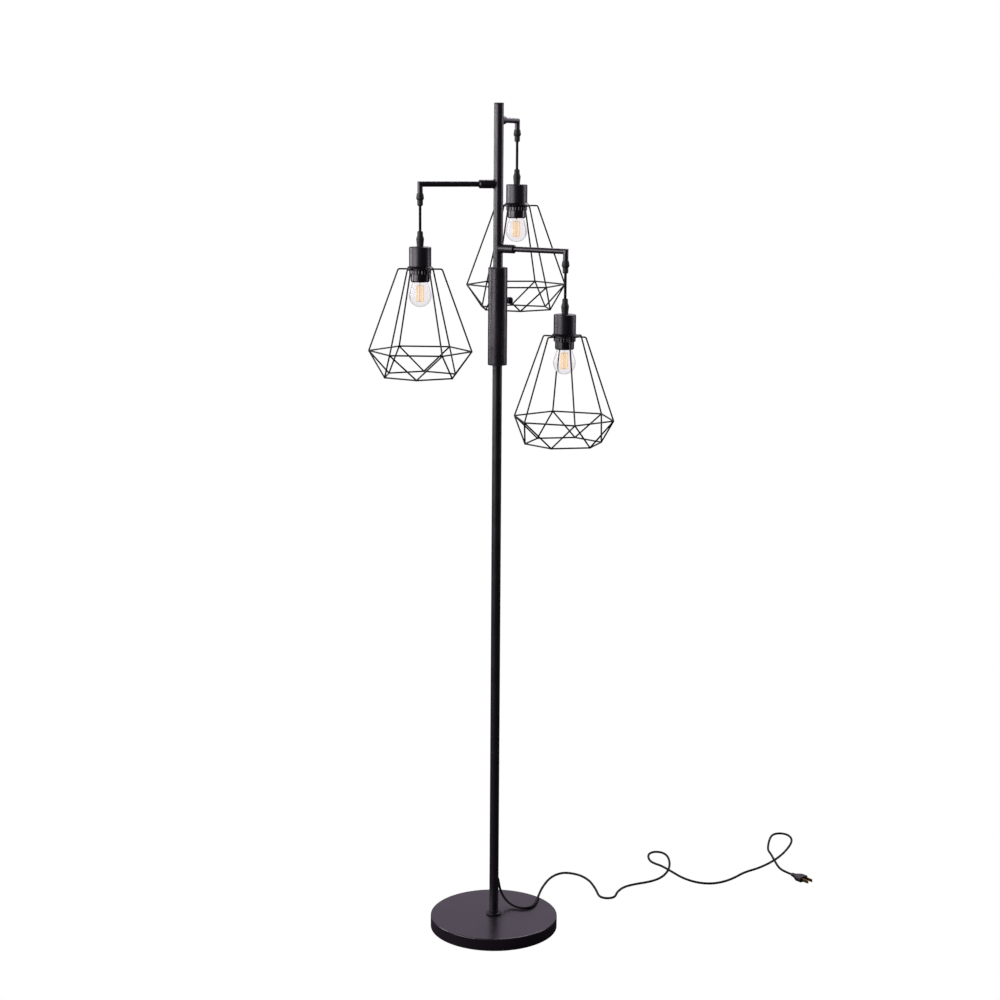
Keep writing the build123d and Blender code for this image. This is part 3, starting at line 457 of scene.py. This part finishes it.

# Each finish, paired with the name of a frame material slot; only the finish goes on the pieces.
COAT = (powder_coat, "black_powder_coat")
FOOT = (foot_coat_with_painted_sheen, "black_powder_coat")
WIRE = (wire_coat, "black_wire")
RING = (wire_coat, "black_powder_coat")
GRIP = (grip_nylon, "black_plastic")
HOLDER = (phenolic, "black_plastic")
KNOB = (knob_abs, "black_plastic")
SHEATH = (sheath_pvc, "cable_sheath")
PLUG = (plug_pvc, "black_plastic")
GLASS = (bulb_glass, "bulb_glass")
STEM = (stem_glass, "bulb_glass")
CAP = (cap_nickel, "bulb_cap_metal")
STICK = (filament_coat_painted_glow, "filament")
FOAM = (pad_foam, "foam_pad")

# ---- Power cord ------------------------------------------------------------------------------
curve = bpy.data.curves.new("power_cord_sheath", "CURVE")
curve.dimensions = "3D"
spline = curve.splines.new("NURBS")
spline.points.add(len(cord_route) - 1)
spline.points.foreach_set(
    "co", np.hstack([np.array(cord_route) * MM, np.ones((len(cord_route), 1))]).ravel()
)
spline.order_u = 3
spline.use_endpoint_u = True
curve.bevel_depth = 2.4 * MM
curve.bevel_resolution = 6
curve.resolution_u = 8
curve.use_fill_caps = True
power_cord = bpy.data.objects.new("power_cord_sheath", curve)
bpy.context.scene.collection.objects.link(power_cord)
curve.materials.append(sheath_pvc)
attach(power_cord, "stand")
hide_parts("power_cord")

# The plug's body: rings of rounded rectangles |x/w|^n + |z/h|^n = 1 whose half width, half
# thickness and power change along it, with shallow ribs on the tapered boot.
plug_start, plug_before = np.array(cord_route[-1]), np.array(cord_route[-2])
plug_way = unit(plug_start - plug_before)
plug_columns = np.stack([[-plug_way[1], plug_way[0], 0], [0, 0, 1], plug_way], axis=1)
plug_run = np.array(
    [0, 0.4, 2, 4, 4.6, 6.4, 7, 8.8, 9.4, 11.2, 12, 14, 16.5, 19, 21, 25, 30, 33, 33.7, 34]
)
plug_half = np.interp(plug_run, [0, 0.4, 10, 20, 33, 34], [3.3, 3.7, 5.9, 12.4, 12.4, 11.6])
plug_rise = np.interp(plug_run, [0, 0.4, 10, 20, 33, 34], [3.3, 3.7, 4.6, 6.3, 6.3, 5.6])
plug_power = np.interp(plug_run, [0, 8, 20, 34], [2.0, 2.4, 3.6, 3.6])
plug_rib = np.where(np.isin(plug_run, [4.6, 6.4, 9.4, 11.2]), -0.45, 0.0)
plug_angle = np.arange(48) * 2 * math.pi / 48
plug_cos, plug_sin = np.cos(plug_angle), np.sin(plug_angle)
plug_bend = 2 / plug_power[:, None]
plug_rings = np.stack(
    [
        (plug_half + plug_rib)[:, None] * np.sign(plug_cos) * np.abs(plug_cos) ** plug_bend,
        (plug_rise + plug_rib)[:, None] * np.sign(plug_sin) * np.abs(plug_sin) ** plug_bend,
        np.broadcast_to(plug_run[:, None], (len(plug_run), len(plug_angle))),
    ],
    axis=-1,
)
plug_shell = moved(ring_shell(plug_rings), plug_columns, plug_start)
plug_body = piece("plug_moulding", [plug_shell], PLUG, ["plug_body"])

# The bush in the pole's wall, with its flange and its tapered strain relief: (radius, reach).
grommet_outline = [
    (2.0, 2.4), (4.2, 2.4), (4.2, 9.1), (5.6, 9.1),
    (5.6, 10.5), (4.0, 10.5), (3.0, 22.5), (2.0, 22.5),
]
grommet_shell = turned(grommet_outline, [0.2, 0.2, 0.4, 0.5, 0.4, 0.5], around=32, closed=False)
grommet_shell = moved(grommet_shell, radial(cord_exit_heading), (0, 0, cord_exit_level))
grommet = piece("cord_bush", [grommet_shell], KNOB, ["cord_grommet"])

# ---- Foot ------------------------------------------------------------------------------------
under_cover, in_cover = foot_top - tube_wall, foot_radius - tube_wall
cover_outline = [
    (foot_radius, 1), (foot_radius, foot_top), (5.3, foot_top),
    (5.3, under_cover), (in_cover, under_cover), (in_cover, 1),
]
cover_shell = turned(cover_outline, [0.4, 2.4, 0.2, 0.2, 1.2, 0.4], around=160, steps=6)
piece("foot_sheet_cover", [cover_shell], FOOT, ["base_cover"])
pad_shell = turned([(110, 0), (121, 0), (121, 2), (110, 2)], [0.6, 0.6], around=120, closed=False)
piece("foot_foam_pad", [pad_shell], FOAM, ["base_pad"])
collar_outline = [(15, foot_top), (15, 29.5), (pole_bore, 29.5), (pole_bore, foot_top)]
collar_shell = turned(collar_outline, [1.6, 2.2, 0.4, 0.2], around=64, steps=6)
piece("foot_ring", [collar_shell], RING, ["foot_collar"])

# ---- Pole and switch housing -----------------------------------------------------------------
def tube_shell(outside, wall, low, high, edge=0.25, around=56):
    """A straight tube: its wall's outline, up outside and down inside, carried round the axis."""
    inside = outside - wall
    outline = [(outside, low), (outside, high), (inside, high), (inside, low)]
    return turned(outline, edge, around)


section = (lower_pole_top - foot_top) / 3
for number, node_name in enumerate(["lower_pole_bottom", "lower_pole_middle", "lower_pole_top"]):
    low = foot_top + number * section
    tube = tube_shell(pole_radius, tube_wall, low, low + section)
    piece(f"{node_name}_tube", [tube], COAT, [node_name])
upper_tube = tube_shell(pole_radius, tube_wall, upper_pole_bottom, cap_level)
piece("upper_pole_tube", [upper_tube], COAT, ["upper_pole"])
top_outline = [(6, cap_level), (pole_radius, cap_level), (pole_radius, lamp_top), (4, lamp_top)]
top_shell = turned(top_outline, [0.25, 1.1], closed=False)
piece("pole_end_plug", [top_shell], GRIP, ["pole_cap"])
sleeve_bottom, sleeve_top = housing_bottom + rim_height, housing_top - rim_height
housing_tube = tube_shell(housing_radius, tube_wall, sleeve_bottom, sleeve_top, 0.3, 96)
piece("housing_sleeve", [housing_tube], COAT, ["switch_housing"])
for node_name, outer, inner in (
    ("housing_bottom_cap", housing_bottom, sleeve_bottom),
    ("housing_top_cap", housing_top, sleeve_top),
):
    flange = [
        (housing_radius, outer), (housing_radius, inner), (pole_bore, inner), (pole_bore, outer),
    ]
    radii = [0.8, 0.25, 0.2, 0.3]
    if outer > inner:
        flange, radii = flange[::-1], radii[::-1]
    piece(f"{node_name}_flange", [turned(flange, radii, around=96)], GRIP, [node_name])


def knob_flutes(outline, angle):
    """Sixteen flutes: r is 0.45 mm less where cos 16a peaks, below the knob's plain front rim."""
    on_side = ((outline[:, :1] > 6.3) & (outline[:, 1:] < 26.5)).astype(float)
    return -0.45 * on_side * np.clip(np.cos(16 * angle), 0, 1) ** 2


knob_outline = [(3.6, 20.95), (6.49, 20.95), (6.49, 26.2), (6.5, 26.7), (6.5, 29.45), (2, 29.45)]
knob_radii = [0.4, 0.05, 0.05, 2.2]
knob_shell = turned(knob_outline, knob_radii, around=128, closed=False, flutes=knob_flutes)
knob_shell = moved(knob_shell, radial(knob_heading), (0, 0, knob_level))
piece("switch_knob_moulding", [knob_shell], KNOB, ["switch_knob"])

# ---- Arms ------------------------------------------------------------------------------------
def sleeve_shells(heading, level):
    """The welded sleeve and the weld round its foot.

    The sleeve's first ring lies on the pole, at the reach sqrt(R^2 - x^2) for x across it. The
    weld is a bead of radius w whose middle follows that ring, (r cos a, r sin a, reach).
    """
    corners = [(sleeve_radius, 12), (sleeve_radius, 36), (6, 38), (cord_hole, 38), (cord_hole, 30)]
    outline = round_corners(corners, [0.5, 0.4, 0.2], closed=False)
    rings = turned_rings(outline, 48)
    angle = np.arange(48) * 2 * math.pi / 48
    across, along = sleeve_radius * np.cos(angle), sleeve_radius * np.sin(angle)
    cope = np.sqrt(pole_radius**2 - across**2)
    first = np.stack([across, along, cope - 0.4], axis=-1)[None]
    sleeve = ring_shell(np.concatenate([first, rings]))
    weld_radius = 1.0
    bead = -np.arange(10) * 2 * math.pi / 10
    out = sleeve_radius + 0.1 + weld_radius * np.cos(bead)[None, :]
    weld = ring_shell(
        np.stack(
            [
                out * np.cos(angle)[:, None],
                out * np.sin(angle)[:, None],
                cope[:, None] + 0.1 + weld_radius * np.sin(bead)[None, :],
            ],
            axis=-1,
        ),
        loop=True,
    )
    return [moved(shell, radial(heading), (0, 0, level)) for shell in (sleeve, weld)]


def arm_shell(heading, level):
    """The arm's tube: out along its heading, mitred, and down to its grip."""
    way, down = radial(heading)[:, 2], np.array([0, 0, -1.0])
    out = np.array([14, 80, 143, 144.5, arm_reach])[:, None] * way
    drop = way * arm_reach + np.array([5.5, 7, 25.5])[:, None] * down
    tube = wire_shell(np.vstack([out, drop]), radial(heading)[:, 0], arm_radius, around=40)
    return moved(tube, origin=(0, 0, level))


upper_grip_outline = [
    (5.15, -25.5), (2.8, -25.5), (2.8, -39.5), (4.1, -39.5), (5.3, -37.5), (5.3, -29.1),
    (5.9, -28.5), (7.3, -25.8), (6.9, -22.5), (5.8, -16.5), (5.15, -16.5),
]
upper_grip_radii = [0.2, 0.2, 0.2, 0.4, 0.8, 0.3, 0.2, 0.5, 1.5, 0.25, 0.15]
lower_grip_outline = [
    (2.8, -38.5), (5.0, -38.5), (5.0, -28.5), (6.0, -28.5), (7.0, -17.0), (7.3, -14.3),
    (6.4, -11.0), (5.3, -7.5), (5.3, -2.0), (4.1, 0.0), (2.8, 0.0),
]
lower_grip_radii = [0.2, 0.3, 0.1, 0.25, 1.5, 0.6, 1.0, 1.2, 0.8, 0.4, 0.2]


# ---- Pendants --------------------------------------------------------------------------------
def ring_notches(outline, angle):
    """Eighteen grip notches: r is 0.9 mm less where cos 18a peaks, on the outer wall only."""
    on_side = (outline[:, :1] > 19.0).astype(float)
    return -0.9 * on_side * np.clip(np.cos(18 * angle), 0, 1) ** 3


def bulb_outline(inset):
    """Half of the globe's outline from its bottom to its neck's top, moved inwards.

    The ball is (r cos b, centre + r sin b) for b from -89 to 15 degrees. The waist is a cubic
    from there, along the ball, that tapers like a pear into the neck, and the neck is straight.
    """
    radius, neck = 20.75 - inset, 12.3 - inset
    tilt = np.radians(np.linspace(-89, 15, 34))
    ball = np.stack([radius * np.cos(tilt), bulb_centre + radius * np.sin(tilt)], axis=-1)
    share = np.linspace(0, 1, 16)[1:, None]
    start, end = ball[-1], np.array([neck, cap_rim + 0.4])
    leave = start + 8.0 * np.array([-math.sin(tilt[-1]), math.cos(tilt[-1])])
    reach = end - np.array([-0.6, 3.0])
    waist = (
        (1 - share) ** 3 * start
        + 3 * (1 - share) ** 2 * share * leave
        + 3 * (1 - share) * share**2 * reach
        + share**3 * end
    )
    return np.vstack([ball, waist, [[neck, cap_rim + 7 - inset]]])


def bulb_shells():
    """The glass's two walls, its stem and its filament sticks with their lead wires."""
    outside, inside = bulb_outline(0.0), bulb_outline(0.8)[::-1]
    glass = [ring_shell(turned_rings(np.vstack([outside, inside]), 64))]
    stem = [
        turned(
            [
                (0.8, -129.5), (1.3, -129.5), (1.3, -94), (3.2, -90),
                (11.0, -81.6), (11.0, -80.2), (2, -80.2),
            ],
            [0.4, 4.0, 3.0, 1.0, 0.4],
            around=32,
            closed=False,
        )
    ]
    sticks, leads = [], []
    low, high, stick_radius, circle = -128.75, -98.75, 1.15, 6.0
    stick_outline = [(0.3, low), (stick_radius, low), (stick_radius, high), (0.3, high)]
    stick = turned(stick_outline, 0.5, 14, closed=False)
    for number in range(4):
        columns = spun(15 + 90 * number)
        sticks.append(moved(stick, columns, columns @ np.array([circle, 0, 0])))
        for level in (-128.0, -99.4):
            corners = [(0.6, 0, level), (3.2, 0, level - 0.5), (circle, 0, level)]
            path = round_corners(corners, 3.0, False, 3)
            leads.append(moved(wire_shell(path, (0, 1, 0), 0.3, around=8), columns))
    return glass, stem, sticks, leads


def screw_cap_shell():
    """The screw cap: r = 12.85 + 0.5 times a wave of 5 threads, then a cone to the contact.

    The wave is ((1 - cos(2 pi t)) / 2)^1.5, for t turns up the cap.
    """
    level = np.linspace(cap_rim, cap_top - 3, 60)
    turns = (level - cap_rim) * 5 / (cap_top - 3 - cap_rim)
    wave = (0.5 - 0.5 * np.cos(turns * 2 * math.pi)) ** 1.5
    side = np.stack([12.85 + 0.5 * wave, level], axis=-1)
    top = np.array(
        [[11.3, cap_top - 2.6], [9.6, cap_top - 1.2], [4.6, cap_top - 1.0], [4.3, cap_top]]
    )
    return ring_shell(turned_rings(np.vstack([side, top]), 48))


def cage_shells():
    """The cage's wires: six struts, twelve braces and two six-sided rings, with their welds.

    A strut leaves the crown level, bends down at the shoulder and ends at the waist ring. The
    mouth ring is turned by half a side, and the braces zigzag between the rings' corners.
    """
    radius = wire_radius
    waist_corner = np.array([waist_radius, 0, waist_level])
    mouth_corner = spun(30) @ np.array([mouth_radius, 0, mouth_level])
    strut_corners = [(23.0, 0, wire_level), (40.5, 0, wire_level), waist_corner]
    strut = wire_shell(round_corners(strut_corners, 4.0, False, 8), (0, 1, 0), radius)
    braces = []
    for mirror in (np.array([1, 1, 1]), np.array([1, -1, 1])):
        run = (mouth_corner - waist_corner) * mirror
        side = unit(np.cross(run, (0, 0, 1.0)))
        path = np.stack([waist_corner, mouth_corner]) * mirror
        braces.append(wire_shell(path, side, radius))
    shells = []
    for number in range(6):
        columns = spun(60 * number)
        shells += [moved(shell, columns) for shell in (strut, *braces)]
        shells.append(bead_shell(columns @ (waist_corner * (0.9965, 1, 1)), 1.9))
        shells.append(bead_shell(columns @ (mouth_corner * (0.9965, 0.9965, 1)), 1.85))
    for corner in (waist_corner, mouth_corner):
        ring = np.stack([spun(60 * number) @ corner for number in range(6)])
        path = round_corners(ring, 3.0, closed=True, steps=4)
        shells.append(wire_shell(path, (0, 0, 1), radius, loop=True))
    return shells


glass, stem, sticks, leads = bulb_shells()
for name, pendant in pendants.items():
    heading, level = pendant["heading"], pendant["arm_level"]
    arm_end = radial(heading)[:, 2] * arm_reach
    arm_spot = arm_end + (0, 0, level)
    spot = arm_spot - (0, 0, mouth_drop + pendant["flex"])
    piece(f"{name}_welded_sleeve", sleeve_shells(heading, level), COAT, [f"{name}_arm_sleeve"])
    piece(f"{name}_mitred_arm", [arm_shell(heading, level)], COAT, [f"{name}_arm_tube"])
    for label, outline, radii, place in (
        ("upper", upper_grip_outline, upper_grip_radii, arm_spot),
        ("lower", lower_grip_outline, lower_grip_radii, spot),
    ):
        grip = moved(turned(outline, radii, around=48), origin=place)
        piece(f"{name}_{label}_cord_grip", [grip], GRIP, [f"{name}_{label}_grip"])
    flex_top = pendant["flex"] + 2.5
    flex_corners = [(0.5, -2.5), (2.5, -2.5), (2.5, flex_top), (0.5, flex_top)]
    flex = moved(turned(flex_corners, 1.9, around=24, closed=False), origin=spot)
    piece(f"{name}_flex_sheath", [flex], SHEATH, [f"{name}_hanging_flex"])
    cup_outline = [
        (20.5, cup_rim), (20.5, cup_top), (cord_hole, cup_top),
        (cord_hole, cup_top - tube_wall), (19.3, cup_top - tube_wall), (19.3, cup_rim),
    ]
    cup = moved(turned(cup_outline, [0.25, 2.0, 0.2, 0.2, 0.9, 0.25], around=80), origin=spot)
    piece(f"{name}_spun_cup", [cup], COAT, [f"{name}_socket_cup"])
    holder_outline = [
        (16.3, holder_bottom), (17.5, holder_bottom + 2), (17.5, -38.7), (9, -29.7), (5.2, -29.7),
        (5.2, holder_bore_top), (13.7, holder_bore_top), (13.7, holder_bottom + 8),
        (15.2, holder_bottom + 7), (15.2, holder_bottom),
    ]
    holder_radii = [0.5, 0.6, 2, 1, 0.2, 0.3, 0.5, 0.4, 0.4, 0.3]
    holder = moved(turned(holder_outline, holder_radii, around=64), origin=spot)
    piece(f"{name}_holder_sleeve", [holder], HOLDER, [f"{name}_lampholder"])
    ring_bottom = crown_bottom - 7.5
    ring_outline = [
        (20.3, ring_bottom), (20.3, crown_bottom), (17.65, crown_bottom), (17.65, ring_bottom),
    ]
    ring = turned(ring_outline, [0.6, 0.6, 0.2, 0.2], around=216, flutes=ring_notches)
    ring = moved(ring, origin=spot)
    piece(f"{name}_notched_ring", [ring], HOLDER, [f"{name}_shade_ring"])
    crown_outline = [
        (25, crown_bottom), (25, crown_bottom + 3.0), (20.8, cup_rim),
        (17.8, cup_rim), (17.8, crown_bottom),
    ]
    crown = turned(crown_outline, [0.5, 1.6, 0.3, 0.2, 0.3], around=80)
    shells = [moved(shell, spun(pendant["turn"]), spot) for shell in cage_shells() + [crown]]
    piece(f"{name}_wire_cage", shells, WIRE, [f"{name}_cage"])
    inside = f"{name}_bulb_filaments"
    for label, bulb_part, finish, stands_for in (
        ("glass_globe", glass, GLASS, f"{name}_bulb_glass"),
        ("screw_cap", [screw_cap_shell()], CAP, f"{name}_bulb_cap"),
        ("glass_stem", stem, STEM, inside),
        ("filament_sticks", sticks, STICK, inside),
        ("filament_leads", leads, CAP, inside),
    ):
        shells = [moved(shell, origin=spot) for shell in bulb_part]
        piece(f"{name}_{label}", shells, finish, [stands_for])

# ---- Finishes of the frame's own nodes: the plug's blades, and what is inside the lamp --------
for node_name, finish in {
    "plug_blades": stamped_brass,
    "base_weight": cast_iron,
    "base_washer": zinc_steel,
    "base_nut": zinc_steel,
    "base_stud": zinc_steel,
    "pole_couplers": zinc_steel,
    "rotary_switch": knob_abs,
    "switch_nut": zinc_steel,
    "inner_wiring": sheath_pvc,
}.items():
    frame["nodes"][node_name].data.materials.clear()
    frame["nodes"][node_name].data.materials.append(finish)

# ---- Floor, studio and lights ----------------------------------------------------------------
floor_mesh = bpy.data.meshes.new("studio_floor")
reach = 30.0  # metres each way, so that its edge is far off
floor_corners = [(-reach, -reach, 0), (reach, -reach, 0), (reach, reach, 0), (-reach, reach, 0)]
floor_mesh.from_pydata(floor_corners, [], [(0, 1, 2, 3)])
floor = bpy.data.objects.new("studio_floor", floor_mesh)
bpy.context.scene.collection.objects.link(floor)
floor_finish, tree, output, place = new_finish("pale_studio_floor")
seen = add_node(tree, "ShaderNodeLightPath")
# What shows through glass is a little darker than the white, and faintly lilac.
through_tint = (0.87, 0.85, 0.91, 1.0)
shaded = add_node(tree, "ShaderNodeBsdfDiffuse", {"Color": linear("#38363a")})
veiled = add_node(tree, "ShaderNodeEmission", {"Color": through_tint, "Strength": 1.0})
white = add_node(tree, "ShaderNodeEmission", {"Color": linear("#ffffff"), "Strength": 1.0})
indirect = add_node(
    tree,
    "ShaderNodeMixShader",
    None,
    {0: seen.outputs["Is Transmission Ray"], 1: shaded.outputs[0], 2: veiled.outputs[0]},
)
either = add_node(
    tree,
    "ShaderNodeMixShader",
    None,
    {0: seen.outputs["Is Camera Ray"], 1: indirect.outputs[0], 2: white.outputs[0]},
)
tree.links.new(either.outputs[0], output.inputs[0])
floor_mesh.materials.append(floor_finish)

# The plain display transform keeps white paper white and thin wires at their width against it.
bpy.context.scene.view_settings.view_transform = "Standard"
world = bpy.data.worlds.new("studio")
world.use_nodes = True
bpy.context.scene.world = world
tree = world.node_tree
tree.nodes.clear()
# White all round to the eye. What lights the lamp is bright behind it and dark in front of it.
toward = add_node(tree, "ShaderNodeTexCoord").outputs["Generated"]
split = add_node(tree, "ShaderNodeSeparateXYZ", None, {0: toward})
behind = add_node(
    tree,
    "ShaderNodeMapRange",
    {"From Min": -0.1, "From Max": 0.8, "To Min": 0.10, "To Max": 0.55},
    {"Value": split.outputs["Y"]},
    interpolation_type="SMOOTHSTEP",
)
seen = add_node(tree, "ShaderNodeLightPath")
lilac_cast = (1.0, 0.86, 1.08)
cast = add_node(
    tree,
    "ShaderNodeVectorMath",
    {0: lilac_cast},
    {1: behind.outputs[0]},
    operation="MULTIPLY",
)
veiled = add_node(
    tree,
    "ShaderNodeMix",
    {MIX_SECOND: through_tint},
    {MIX_SHARE: seen.outputs["Is Transmission Ray"], MIX_FIRST: cast.outputs[0]},
    data_type="RGBA",
)
colour = add_node(
    tree,
    "ShaderNodeMix",
    {MIX_SECOND: (1.0, 1.0, 1.0, 1.0)},
    {MIX_SHARE: seen.outputs["Is Camera Ray"], MIX_FIRST: veiled.outputs[MIX_RESULT]},
    data_type="RGBA",
)
air = add_node(
    tree, "ShaderNodeBackground", {"Strength": 1.0}, {"Color": colour.outputs[MIX_RESULT]}
)
add_node(tree, "ShaderNodeOutputWorld", None, {"Surface": air.outputs[0]})


def soft_light(name, place, aim, width, height, power):
    """A rectangular soft box at a place, turned to its aim, in metres and watts.

    It isn't seen through glass, so that the bulbs stay even.
    """
    data = bpy.data.lights.new(name, "AREA")
    data.shape = "RECTANGLE"
    data.size, data.size_y, data.energy = width, height, power
    data.color = (1.0, 0.95, 1.02)
    lamp = bpy.data.objects.new(name, data)
    lamp.visible_transmission = False
    bpy.context.scene.collection.objects.link(lamp)
    away = unit(np.array(place, float) - np.array(aim, float))
    across = unit(np.cross((0, 0, 1.0), away))
    turn = np.stack([across, np.cross(away, across), away], axis=1)
    lamp.matrix_world = Matrix.Translation(place) @ Matrix(turn.tolist()).to_4x4()
    return lamp


soft_light("left_back_box", (-2.7, 0.7, 1.7), (0, 0, 1.4), 1.0, 1.6, 50.0)
soft_light("left_front_box", (-2.2, -1.5, 1.7), (0, 0, 1.4), 2.2, 1.6, 75.0)
soft_light("right_back_box", (2.7, 0.6, 1.7), (0, 0, 1.4), 1.0, 1.6, 22.0)
soft_light("top_box", (0.7, 2.1, 3.0), (0.1, 0.1, 0.3), 1.6, 1.2, 40.0)
